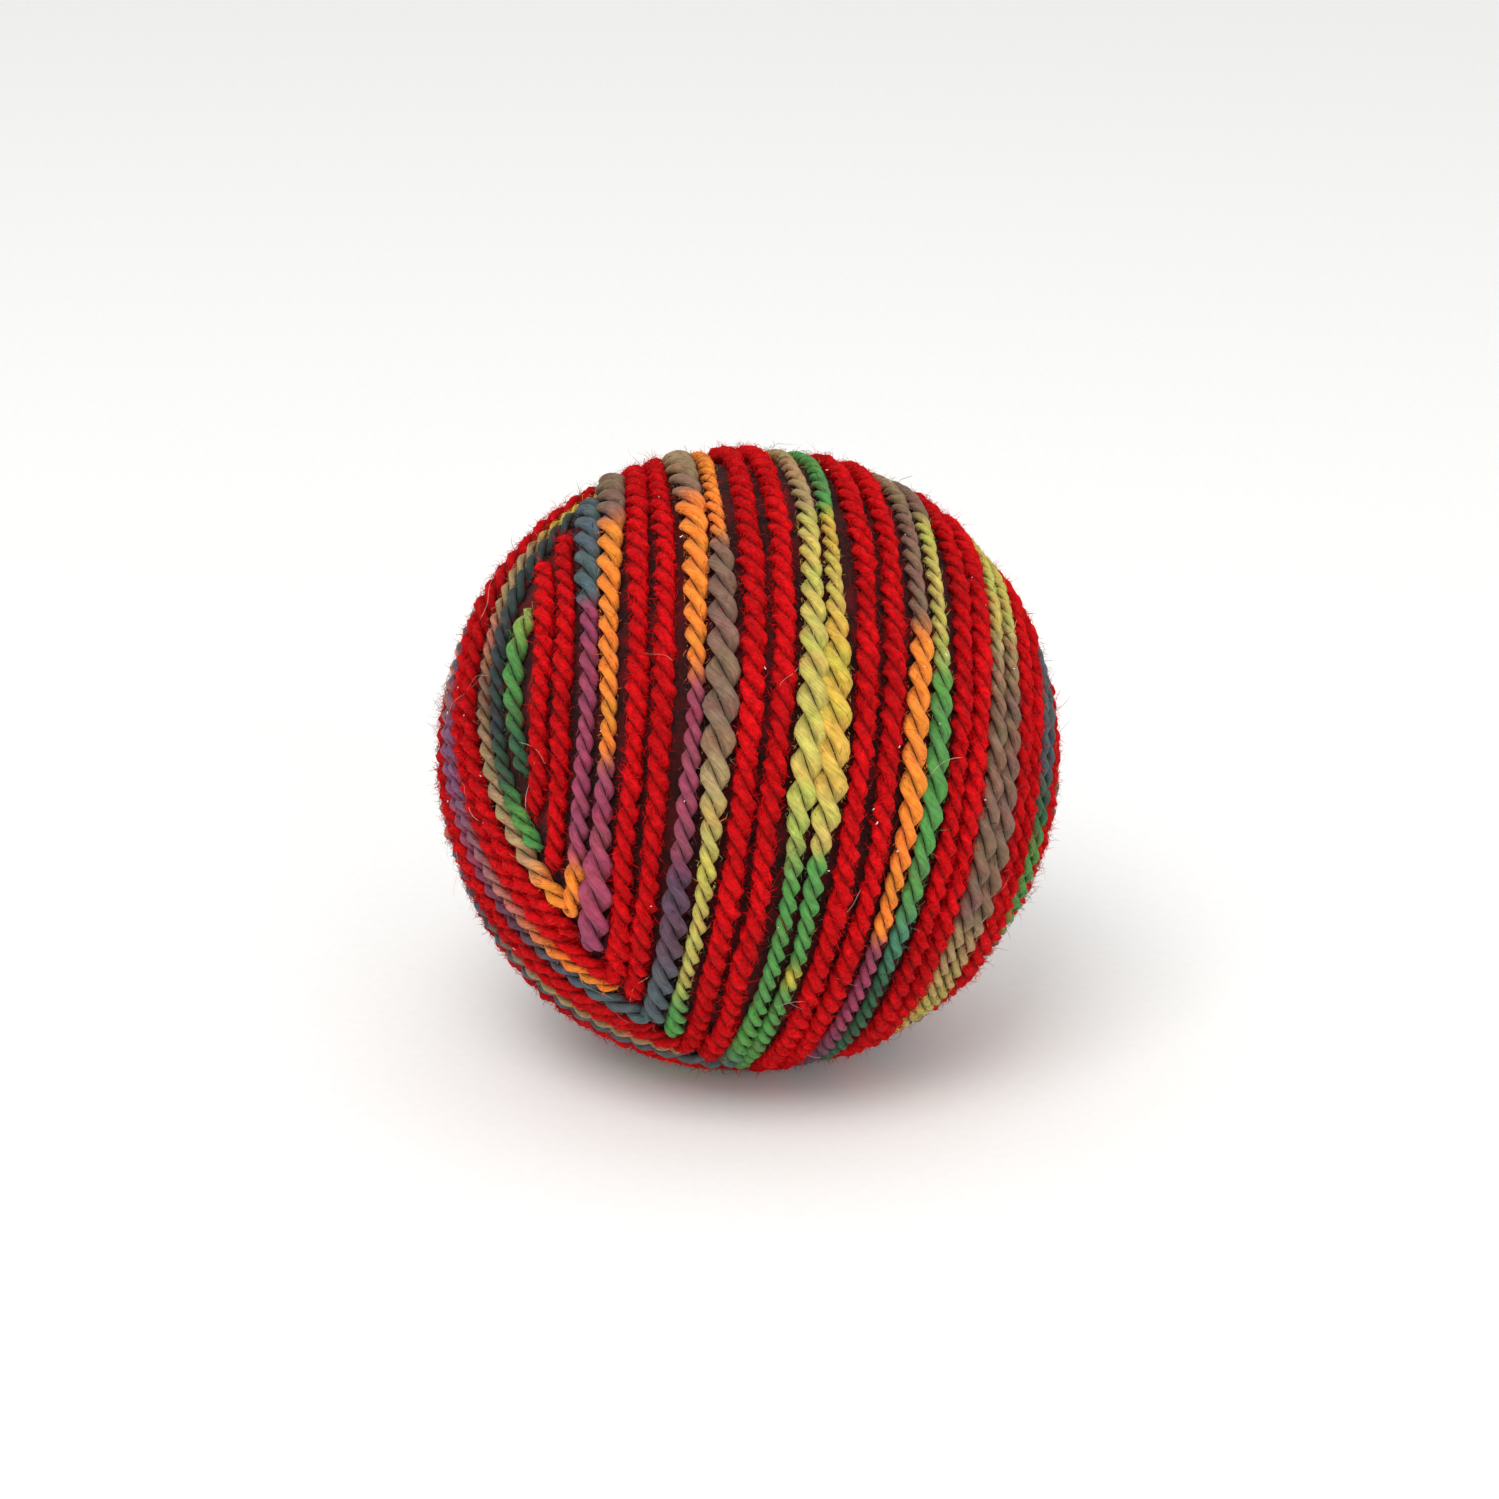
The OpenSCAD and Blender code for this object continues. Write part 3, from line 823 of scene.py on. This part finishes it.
def sewingThread(name, colour):
    # fine twisted cotton: dark, with a slight lustre
    material, tree, output = newMaterial(name)
    place = addNode(tree, "TexCoord")
    ply = addNode(tree, "TexNoise", {}, {
        "Vector": place.outputs["Object"], "Scale": 1 / (0.25 * mm), "Detail": 2.0})
    ramp = addNode(tree, "ValToRGB", {}, {"Fac": ply.outputs["Fac"]})
    base = hexColour(colour)
    ramp.color_ramp.elements[0].color = (base[0] * 0.6, base[1] * 0.6, base[2] * 0.6, 1)
    ramp.color_ramp.elements[1].color = (base[0] * 1.6, base[1] * 1.6, base[2] * 1.6, 1)
    surface = addNode(tree, "BsdfPrincipled", {}, {
        "Base Color": ramp.outputs["Color"], "Roughness": 0.9, "Specular IOR Level": 0.1})
    tree.links.new(surface.outputs["BSDF"], output.inputs["Surface"])
    return material


def woolFelt(name, dark, light):
    # pressed wool: a tangle of short dark fibres with a few red ones rubbed off the yarn
    material, tree, output = newMaterial(name)
    place = addNode(tree, "TexCoord")
    tangle = addNode(tree, "TexNoise", {}, {
        "Vector": place.outputs["Object"], "Scale": 1 / (0.35 * mm), "Detail": 5.0, "Roughness": 0.7})
    patches = addNode(tree, "TexNoise", {}, {
        "Vector": place.outputs["Object"], "Scale": 1 / (3 * mm), "Detail": 3.0})
    ramp = addNode(tree, "ValToRGB", {}, {"Fac": tangle.outputs["Fac"]})
    ramp.color_ramp.elements[0].position = 0.35
    ramp.color_ramp.elements[0].color = hexColour(dark)
    ramp.color_ramp.elements[1].position = 0.7
    ramp.color_ramp.elements[1].color = hexColour(light)
    rubbed = addNode(tree, "MapRange", {}, {
        "Value": patches.outputs["Fac"], "From Min": 0.4, "From Max": 0.65,
        "To Min": 0.05, "To Max": 0.6})
    mixed = addNode(tree, "Mix", {"data_type": "RGBA"}, {
        "Factor": rubbed.outputs["Result"], 6: ramp.outputs["Color"], 7: hexColour("#6c141a")})
    bump = addNode(tree, "Bump", {}, {
        "Height": tangle.outputs["Fac"], "Strength": 0.9, "Distance": 0.15 * mm})
    surface = addNode(tree, "BsdfPrincipled", {}, {
        "Base Color": mixed.outputs[2], "Normal": bump.outputs["Normal"], "Roughness": 0.95,
        "Sheen Weight": 0.08, "Sheen Roughness": 0.5, "Specular IOR Level": 0.15})
    tree.links.new(surface.outputs["BSDF"], output.inputs["Surface"])
    return material


# the reds are loosely spun and woolly, the changing colours smooth and tightly spun
redWool = woolYarn("redSpunWool", looseSpun)
dyedWool = woolYarn("spaceDyedSlubWool", tightSpun)
fibreMaterial = looseFibre("looseWoolFibre")
binderCotton = sewingThread("blackBinderCotton", "#120e0d")
seamCotton = sewingThread("darkSeamCotton", "#1a1413")
darkFelt = woolFelt("darkWoolFelt", "#120a09", "#341c18")


# make the yarns

def makeYarns():
    total = 0
    for number, (name, run) in enumerate(yarnRuns().items()):
        generator = np.random.default_rng(seeds["yarns"] + number)
        isRed = "red" in name or "start" in name
        yarn = yarnLine(name, run, generator)
        piece, f = buildYarn(name + "_spun", yarn, isRed, generator)
        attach(piece, "root")
        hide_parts(name)
        extras = [yarnFuzz(name + "_fuzz", f, isRed, generator),
                  buildBinder(name + "_binder", f, isRed, binderCotton)]
        for extra in extras:
            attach(extra, "root")
        total += sum(len(e.data.loops) - 2 * len(e.data.polygons) for e in [piece, *extras])
    print("yarns laid,", total, "triangles")


makeYarns()


# felt cups under the yarn

feltCup = {
    "wall": 1.2 * mm,
    "levels": 5,
    "lump": 0.12 * mm,
    "lumpsAround": 14,
    "lift": 0.35 * mm,          # least height over the table
    "fibres": 7500,
    "fibreLength": (0.5 * mm, 2.2 * mm),
    "fibreLift": 1.5 * mm,
    "fibreTones": ("#4a1a1a", "#8a1018", "#5a1416", "#9c0c14"),
}


def makeFeltCup(name, upper):
    bpy.ops.object.select_all(action="DESELECT")
    bpy.ops.mesh.primitive_ico_sphere_add(
        subdivisions=feltCup["levels"], radius=course["feltRadius"], location=tuple(ballMiddle))
    cup = bpy.context.object
    cup.name = name
    bpy.ops.object.transform_apply(location=True, rotation=True, scale=True)
    bpy.ops.object.mode_set(mode="EDIT")
    bpy.ops.mesh.select_all(action="SELECT")
    bpy.ops.mesh.bisect(plane_co=tuple(ballMiddle), plane_no=(0, 0, 1),
                        clear_inner=upper, clear_outer=not upper)
    bpy.ops.object.mode_set(mode="OBJECT")
    co = np.zeros(len(cup.data.vertices) * 3, dtype=np.float32)
    cup.data.vertices.foreach_get("co", co)
    co = co.reshape(-1, 3)
    out = unit(co - ballMiddle)
    x, y, z = (out * feltCup["lumpsAround"]).T
    lumps = np.sin(x + 2 * np.sin(y)) * np.cos(y + 1.7 * np.sin(z)) * np.cos(0.8 * z + x)
    co = co + out * (lumps * feltCup["lump"] + np.minimum(ballLumps(out), 0))[:, None]
    co[:, 2] = np.maximum(co[:, 2], feltCup["lift"])
    cup.data.vertices.foreach_set("co", co.astype(np.float32).ravel())
    wall = cup.modifiers.new("wall", "SOLIDIFY")
    wall.thickness = feltCup["wall"]
    wall.offset = -1
    bpy.ops.object.modifier_apply(modifier="wall")
    bpy.ops.object.shade_smooth()
    cup.data.materials.clear()
    cup.data.materials.append(darkFelt)
    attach(cup, "root")
    return cup


upperCup = makeFeltCup("feltUpper", True)
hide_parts("felt_cup_upper")
lowerCup = makeFeltCup("feltLower", False)
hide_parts("felt_cup_lower")


def feltFuzz(name, upper, seed):
    # loose fibres that stand up from the felt and drift over the yarn's edges
    generator = np.random.default_rng(seed)
    count = feltCup["fibres"]
    out = unit(generator.normal(size=(count, 3)))
    out[:, 2] = np.abs(out[:, 2]) * (1 if upper else -1)
    roots = out * (course["feltRadius"] + generator.uniform(0, feltCup["fibreLift"], count)[:, None])
    lean = unit(generator.normal(size=(count, 3)))
    lean = unit(lean - 0.9 * out * (lean * out).sum(1, keepdims=True))
    low, high = feltCup["fibreLength"]
    lengths = low + (high - low) * generator.random(count) ** 2
    shades = np.array([hexColour(c)[:3] for c in feltCup["fibreTones"]])
    colours = shades[generator.integers(len(shades), size=count)]
    radii = fuzz["radius"] * generator.uniform(0.7, 1.1, count)
    piece = hairMesh(name, roots, out, lean, lengths, colours, radii, generator)
    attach(piece, "root")


feltFuzz("feltUpperFuzz", True, seeds["upperFelt"])
feltFuzz("feltLowerFuzz", False, seeds["lowerFelt"])
print("felt cups made")


# stray fibres and lint on the outside

strays = {
    "hairs": {"count": 60, "length": (2 * mm, 7 * mm), "tone": "#d8b8a4",
              "radius": 0.022 * mm, "lift": -0.25 * mm},
    "specks": {"count": 90, "length": (0.15 * mm, 0.4 * mm), "tone": "#efe6de",
               "radius": 0.07 * mm, "lift": -0.1 * mm},
    "lean": 0.15,
    "curl": 0.4,
    "rings": 8,
}


def strayFibres(name, kind, seed):
    # pale fibres and lint that have caught on the wool
    generator = np.random.default_rng(seed)
    count = kind["count"]
    out = unit(generator.normal(size=(count, 3)))
    roots = out * (ballRadius + kind["lift"])
    lean = unit(np.cross(out, generator.normal(size=(count, 3))))
    lengths = generator.uniform(*kind["length"], count)
    colours = np.repeat([hexColour(kind["tone"])[:3]], count, axis=0)
    radii = kind["radius"] * generator.uniform(0.8, 1.2, count)
    piece = hairMesh(name, roots, out * strays["lean"], lean, lengths, colours, radii, generator,
                     strays["curl"], strays["rings"])
    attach(piece, "root")


strayFibres("strayHairs", strays["hairs"], seeds["hairs"])
strayFibres("lintSpecks", strays["specks"], seeds["specks"])
print("stray fibres added")


# inside: seam, wadding, pouch, tie and grain

def woven(name, colour, thread):
    # plain-woven cotton: two crossed sets of threads, matt
    material, tree, output = newMaterial(name)
    place = addNode(tree, "TexCoord")
    pitch = {"Vector": place.outputs["Object"], "Scale": 0.31 / thread}   # one wave for each thread
    weft = addNode(tree, "TexWave", {"bands_direction": "X"}, pitch)
    warp = addNode(tree, "TexWave", {"bands_direction": "Z"}, pitch)
    cross = addNode(tree, "Math", {"operation": "MULTIPLY"}, {
        0: weft.outputs["Fac"], 1: warp.outputs["Fac"]})
    ramp = addNode(tree, "ValToRGB", {}, {"Fac": cross.outputs["Value"]})
    base = hexColour(colour)
    ramp.color_ramp.elements[0].color = (base[0] * 0.7, base[1] * 0.7, base[2] * 0.68, 1)
    ramp.color_ramp.elements[1].color = base
    bump = addNode(tree, "Bump", {}, {
        "Height": cross.outputs["Value"], "Strength": 0.6, "Distance": thread / 3})
    surface = addNode(tree, "BsdfPrincipled", {}, {
        "Base Color": ramp.outputs["Color"], "Normal": bump.outputs["Normal"], "Roughness": 0.85})
    tree.links.new(surface.outputs["BSDF"], output.inputs["Surface"])
    return material


def mottled(name, dark, light, size, roughness):
    # a natural stuff whose tone shifts from place to place
    material, tree, output = newMaterial(name)
    place = addNode(tree, "TexCoord")
    grain = addNode(tree, "TexNoise", {}, {
        "Vector": place.outputs["Object"], "Scale": 1 / size, "Detail": 4.0})
    ramp = addNode(tree, "ValToRGB", {}, {"Fac": grain.outputs["Fac"]})
    ramp.color_ramp.elements[0].position = 0.35
    ramp.color_ramp.elements[0].color = hexColour(dark)
    ramp.color_ramp.elements[1].position = 0.65
    ramp.color_ramp.elements[1].color = hexColour(light)
    bump = addNode(tree, "Bump", {}, {
        "Height": grain.outputs["Fac"], "Strength": 0.5, "Distance": size / 6})
    surface = addNode(tree, "BsdfPrincipled", {}, {
        "Base Color": ramp.outputs["Color"], "Normal": bump.outputs["Normal"], "Roughness": roughness})
    tree.links.new(surface.outputs["BSDF"], output.inputs["Surface"])
    return material


def finishPiece(piece, node):
    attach(piece, "root")
    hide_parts(node)
    return piece


def pointsOf(piece):
    # a piece's points as an (n, 3) array
    co = np.zeros(len(piece.data.vertices) * 3, dtype=np.float32)
    piece.data.vertices.foreach_get("co", co)
    return co.reshape(-1, 3).astype(float)


waddingLayer = {"levels": 5, "lump": 0.25 * mm, "lumpsAround": 9, "room": 2.2}   # room in lumps


def makeWadding():
    # a lumpy shell of combed wadding, as thick as its CAD layer
    low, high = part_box("padding_wrap")
    pouchLow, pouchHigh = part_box("inner_pouch")
    radius = (high.x - low.x) / 2
    bpy.ops.object.select_all(action="DESELECT")
    bpy.ops.mesh.primitive_ico_sphere_add(
        subdivisions=waddingLayer["levels"], radius=radius, location=tuple(ballMiddle))
    shell = bpy.context.object
    shell.name = "waddingWrap"
    bpy.ops.object.transform_apply(location=True, rotation=True, scale=True)
    co = pointsOf(shell)
    out = unit(co - ballMiddle)
    x, y, z = (out * waddingLayer["lumpsAround"]).T
    lumps = np.sin(x + 1.3 * np.sin(1.7 * y)) * np.cos(1.2 * z + np.sin(x)) - 1
    co = co + out * (lumps * waddingLayer["lump"])[:, None]
    shell.data.vertices.foreach_set("co", co.astype(np.float32).ravel())
    wall = shell.modifiers.new("wall", "SOLIDIFY")
    room = waddingLayer["room"] * waddingLayer["lump"]
    wall.thickness = radius - (pouchHigh.x - pouchLow.x) / 2 - room
    wall.offset = -1
    bpy.ops.object.modifier_apply(modifier="wall")
    bpy.ops.object.shade_smooth()
    shell.data.materials.append(mottled("combedPolyesterWadding", "#dcd8cf", "#f3f1eb", 0.9 * mm, 0.95))
    finishPiece(shell, "padding_wrap")


pouchCloth = {
    "wall": 0.45 * mm,
    "sides": 156,
    "rows": 60,
    "neckRows": 6,
    "pleats": 26,
    "pleatDepth": 0.16 * mm,
    "bottom": 0.03,             # radians of the closed disc at the very bottom
    "neckInset": 1.0 * mm,      # from the outside of the tie to the neck under it
}


def makePouch():
    # a cotton bag spun round, with pleats that run up to its tied neck
    low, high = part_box("inner_pouch")
    radius = (high.x - low.x) / 2
    tieLow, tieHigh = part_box("pouch_tie")
    neckRadius = (tieHigh.x - tieLow.x) / 2 - pouchCloth["neckInset"]
    mesh = bpy.data.meshes.new("innerPouch")
    middleZ = ballMiddle[2]
    lift = math.acos(min(1, neckRadius / radius))
    steps = np.linspace(pouchCloth["bottom"] - math.pi / 2, lift, pouchCloth["rows"])
    rows = [(radius * math.cos(t), middleZ + radius * math.sin(t)) for t in steps]
    neck = np.linspace(rows[-1][1] + 0.4 * mm, high.z - 0.1 * mm, pouchCloth["neckRows"])
    rows += [(neckRadius, z) for z in neck]
    sides = pouchCloth["sides"]
    angles = np.arange(sides) * 2 * math.pi / sides
    points = []
    for r, z in rows:
        nearNeck = max(0, 1 - (high.z - z) / (1.3 * radius)) ** 2
        waves = 0.5 - 0.5 * np.cos(pouchCloth["pleats"] * angles)
        ring = r - pouchCloth["pleatDepth"] * (1 + 2 * nearNeck) * waves * min(1, r / (4 * mm))
        points.append(np.stack([ring * np.cos(angles), ring * np.sin(angles), np.full(sides, z)], axis=1))
    points = np.concatenate(points)
    faces = [tuple(f) for f in tubeFaces(len(rows), sides)]
    faces.append(tuple(reversed(range(sides))))
    mesh.from_pydata([tuple(p) for p in points], [], faces)
    pouch = bpy.data.objects.new("innerPouch", mesh)
    bpy.context.scene.collection.objects.link(pouch)
    bpy.ops.object.select_all(action="DESELECT")
    bpy.context.view_layer.objects.active = pouch
    pouch.select_set(True)
    wall = pouch.modifiers.new("wall", "SOLIDIFY")
    wall.thickness = pouchCloth["wall"]
    wall.offset = -1
    bpy.ops.object.modifier_apply(modifier="wall")
    bpy.ops.object.shade_smooth()
    mesh.materials.append(woven("unbleachedCottonCloth", "#d9cdb4", 0.5 * mm))
    finishPiece(pouch, "inner_pouch")


loopCord = {"sides": 12, "ply": (0.3, 0.2)}


def roundCord(name, centre, thread, material, twists):
    # a closed loop of two-ply cord along these points, twisted this many times in all
    sides = loopCord["sides"]
    a, radius = plyProfile(sides, loopCord["ply"])
    count = len(centre)
    tangent = unit(np.roll(centre, -1, axis=0) - np.roll(centre, 1, axis=0))
    up = np.array([0, 0, 1.0])
    side = unit(np.cross(tangent, up))
    lift = np.cross(side, tangent)
    turn = np.arange(count) / count * 2 * math.pi * twists
    angle = a[None, :] + turn[:, None]
    grown = (2 * thread * radius)[None, :, None]
    ring = np.cos(angle)[:, :, None] * side[:, None, :] + np.sin(angle)[:, :, None] * lift[:, None, :]
    points = (centre[:, None, :] + grown * ring).reshape(-1, 3)
    faces = tubeFaces(count + 1, sides)[:, ::-1] % (count * sides)
    return meshObject(name, points, faces, material)


tieCord = {"steps": 96, "twists": 9}


def makeTie():
    # the cord round the pouch's neck
    low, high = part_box("pouch_tie")
    thread = (high.z - low.z) / 2
    major = (high.x - low.x) / 2 - thread
    angles = np.linspace(0, 2 * math.pi, tieCord["steps"], endpoint=False)
    height = np.full(tieCord["steps"], (low.z + high.z) / 2)
    centre = np.stack([major * np.cos(angles), major * np.sin(angles), height], axis=1)
    waxedCord = sewingThread("waxedTieCord", "#8a7a5c")
    tie = roundCord("pouchTie", centre, thread, waxedCord, tieCord["twists"])
    finishPiece(tie, "pouch_tie")


seamStitch = {"stitches": 84, "stepsEach": 16, "reach": 0.9 * mm, "thread": 0.17 * mm, "twists": 700}


def makeSeam():
    # overcast stitches that zigzag over the joint between the two felt cups
    low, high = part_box("felt_seam_thread")
    major = (high.x - low.x) / 2 - (high.z - low.z) / 2
    count = seamStitch["stitches"] * seamStitch["stepsEach"]
    angles = np.linspace(0, 2 * math.pi, count, endpoint=False)
    zigzag = np.arcsin(np.sin(angles * seamStitch["stitches"])) / (math.pi / 2)
    centre = np.stack([major * np.cos(angles), major * np.sin(angles),
                       ballMiddle[2] + zigzag * seamStitch["reach"]], axis=1)
    stitches = roundCord("feltSeamStitches", centre, seamStitch["thread"], seamCotton,
                         seamStitch["twists"])
    finishPiece(stitches, "felt_seam_thread")


grainHeap = {
    "seed": 3.3 * mm,           # length of one seed
    "thin": 0.62,               # its thickness as a share of that
    "creaseWidth": 0.2,         # the crease down one side, as shares of the length
    "creaseDepth": 0.12,
    "pitch": 4.3 * mm,
    "stray": 0.5 * mm,
    "layers": 12,
}


def makeGrain():
    # one seed, modelled once and then heaped in close layers, each turned its own way
    bpy.ops.object.select_all(action="DESELECT")
    bpy.ops.mesh.primitive_ico_sphere_add(subdivisions=1, radius=grainHeap["seed"] / 2)
    seed = bpy.context.object
    bpy.ops.object.mode_set(mode="EDIT")
    bpy.ops.mesh.select_all(action="SELECT")
    bpy.ops.transform.resize(value=(grainHeap["thin"], grainHeap["thin"], 1))
    bpy.ops.object.mode_set(mode="OBJECT")
    shape = pointsOf(seed)
    across = shape[:, 1] / (grainHeap["creaseWidth"] * grainHeap["seed"])
    crease = np.exp(-across ** 2) * (shape[:, 0] > 0)
    shape[:, 0] -= grainHeap["creaseDepth"] * grainHeap["seed"] * crease
    seedFaces = np.array([list(p.vertices) for p in seed.data.polygons])
    bpy.data.objects.remove(seed)
    generator = np.random.default_rng(seeds["grain"])
    low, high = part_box("grain_filling")
    reach = (high.x - low.x) / 2 - grainHeap["seed"] / 2
    pitch = grainHeap["pitch"]
    steps = np.arange(-grainHeap["layers"], grainHeap["layers"] + 1)
    i, j, k = (v.ravel() for v in np.meshgrid(steps, steps, steps))
    keep = (i + j + k) % 2 == 0
    places = np.stack([i, j, k], axis=1)[keep] * pitch / math.sqrt(2)
    places = places[np.linalg.norm(places, axis=1) < reach - grainHeap["stray"]]
    places = places + generator.uniform(-1, 1, places.shape) * grainHeap["stray"] * 0.5
    points, faces = [], []
    for number, place in enumerate(places):
        turned, _ = np.linalg.qr(generator.normal(size=(3, 3)))
        turned = turned * np.sign(np.linalg.det(turned))
        points.append(shape @ turned.T + place + ballMiddle)
        faces.append(seedFaces + number * len(shape))
    heap = meshObject("grainHeap", np.concatenate(points), np.concatenate(faces),
                      mottled("driedGrain", "#a77b3e", "#dcb877", 1.2 * mm, 0.55))
    finishPiece(heap, "grain_filling")


makeWadding()
makePouch()
makeTie()
makeSeam()
makeGrain()
print("inside pieces made")


# floor, backdrop and lights

stageSet = {
    "floor": 6.0,
    "world": 0.8,               # strength of the light from all round
    "key": {"place": (-0.2, -0.5, 0.75), "size": 0.5, "power": 4},
    "fill": {"place": (0.5, -0.8, 0.2), "size": 0.6, "power": 3},
}


def plainPaper(name):
    # plain matt paper, a shade off white
    material, tree, output = newMaterial(name)
    place = addNode(tree, "TexCoord")
    grain = addNode(tree, "TexNoise", {}, {
        "Vector": place.outputs["Object"], "Scale": 900.0, "Detail": 2.0})
    ramp = addNode(tree, "ValToRGB", {}, {"Fac": grain.outputs["Fac"]})
    ramp.color_ramp.elements[0].color = hexColour("#f4f4f2")
    ramp.color_ramp.elements[1].color = hexColour("#fafaf8")
    surface = addNode(tree, "BsdfPrincipled", {}, {
        "Base Color": ramp.outputs["Color"], "Roughness": 0.9})
    tree.links.new(surface.outputs["BSDF"], output.inputs["Surface"])
    return material


def makeStage():
    bpy.ops.object.select_all(action="DESELECT")
    bpy.ops.mesh.primitive_plane_add(size=stageSet["floor"], location=(0, 0, 0))
    floor = bpy.context.object
    floor.name = "floor"
    floor.data.materials.append(plainPaper("offWhitePaper"))
    world = bpy.data.worlds.new("softStudio")
    bpy.context.scene.world = world
    world.use_nodes = True
    background = world.node_tree.nodes["Background"]
    background.inputs["Color"].default_value = (1, 1, 1, 1)
    background.inputs["Strength"].default_value = stageSet["world"]
    # keeps the dyes as bright as they are
    bpy.context.scene.view_settings.view_transform = "Standard"


def softLight(name, light):
    data = bpy.data.lights.new(name, "AREA")
    data.size = light["size"]
    data.energy = light["power"]
    lamp = bpy.data.objects.new(name, data)
    bpy.context.scene.collection.objects.link(lamp)
    lamp.location = light["place"]
    aimAt = Vector(ballMiddle) - Vector(light["place"])
    lamp.rotation_euler = aimAt.to_track_quat("-Z", "Y").to_euler()


makeStage()
softLight("keySoftbox", stageSet["key"])
softLight("fillSoftbox", stageSet["fill"])
print("stage and lights set")
